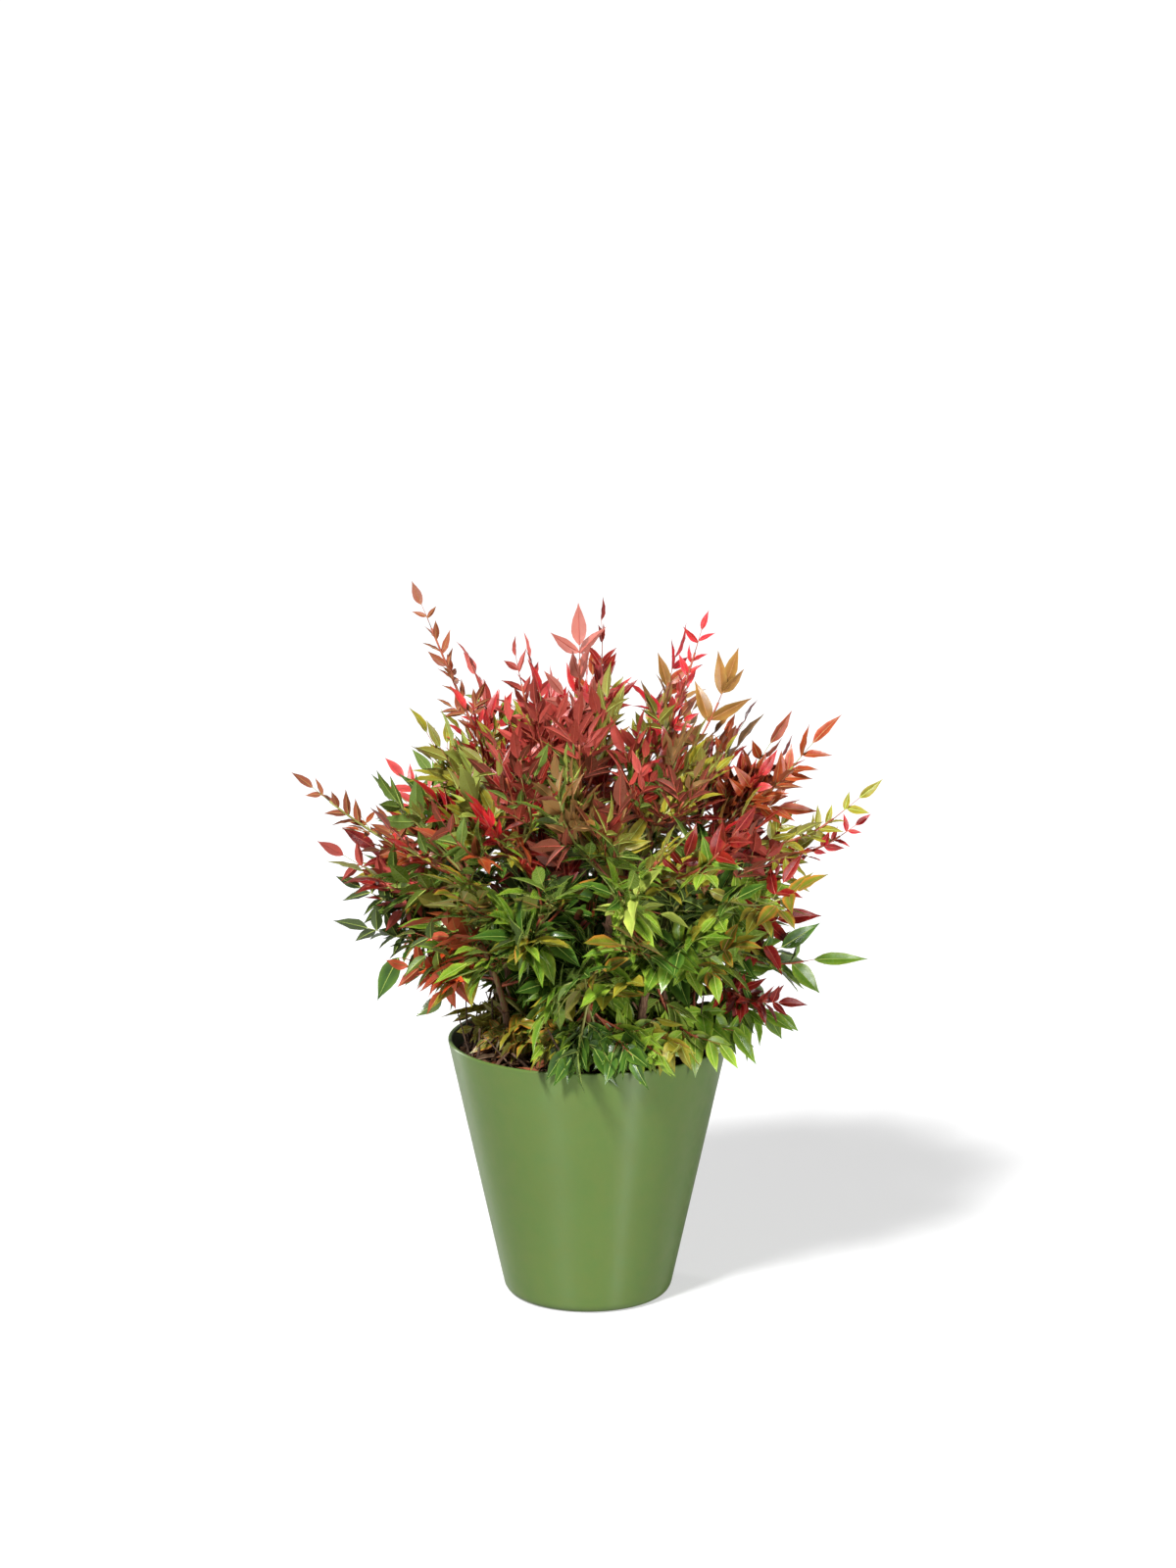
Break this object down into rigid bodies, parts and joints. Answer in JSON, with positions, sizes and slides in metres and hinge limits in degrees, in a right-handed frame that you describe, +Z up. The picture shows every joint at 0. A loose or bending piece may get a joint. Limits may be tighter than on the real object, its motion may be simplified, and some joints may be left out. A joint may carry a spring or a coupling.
{
  "type": "potted heavenly bamboo",
  "caption": "Bushy heavenly bamboo with feathered red, bronze and green foliage on a clump of canes, growing in a plain tapered green pot.",
  "frame": {"origin": "centre of the flat underside of the pot, on the surface that the pot stands on", "axes": "+Z up, along the pot's own axis; the pictured side faces -Y, and +X is to its right"},
  "size_m": [0.5326, 0.4343, 0.6629],
  "materials": {
    "pot": "satin",
    "soil": "matte",
    "canes": "matte",
    "foliage_top": "satin",
    "foliage_shoulder": "satin",
    "foliage_skirt": "satin"
  },
  "bodies": {
    "root": {"pot": "pot", "soil": "soil", "cane_01": "canes", "cane_02": "canes", "cane_03": "canes", "cane_04": "canes", "cane_05": "canes", "cane_06": "canes", "cane_07": "canes", "cane_08": "canes", "cane_09": "canes", "cane_10": "canes", "cane_11": "canes", "cane_12": "canes", "cane_13": "canes", "cane_14": "canes", "cane_15": "canes", "cane_16": "canes", "cane_17": "canes", "cane_18": "canes", "cane_19": "canes", "cane_20": "canes", "cane_21": "canes", "cane_22": "canes", "cane_23": "canes", "cane_24": "canes", "foliage_01": "foliage_top", "foliage_02": "foliage_top", "foliage_03": "foliage_top", "foliage_04": "foliage_top", "foliage_05": "foliage_top", "foliage_06": "foliage_top", "foliage_07": "foliage_top", "foliage_08": "foliage_shoulder", "foliage_09": "foliage_shoulder", "foliage_10": "foliage_shoulder", "foliage_11": "foliage_shoulder", "foliage_12": "foliage_shoulder", "foliage_13": "foliage_shoulder", "foliage_14": "foliage_shoulder", "foliage_15": "foliage_shoulder", "foliage_16": "foliage_skirt", "foliage_17": "foliage_skirt", "foliage_18": "foliage_skirt", "foliage_19": "foliage_skirt", "foliage_20": "foliage_skirt", "foliage_21": "foliage_skirt", "foliage_22": "foliage_skirt", "foliage_23": "foliage_skirt", "foliage_24": "foliage_skirt"}
  },
  "joints": []
}
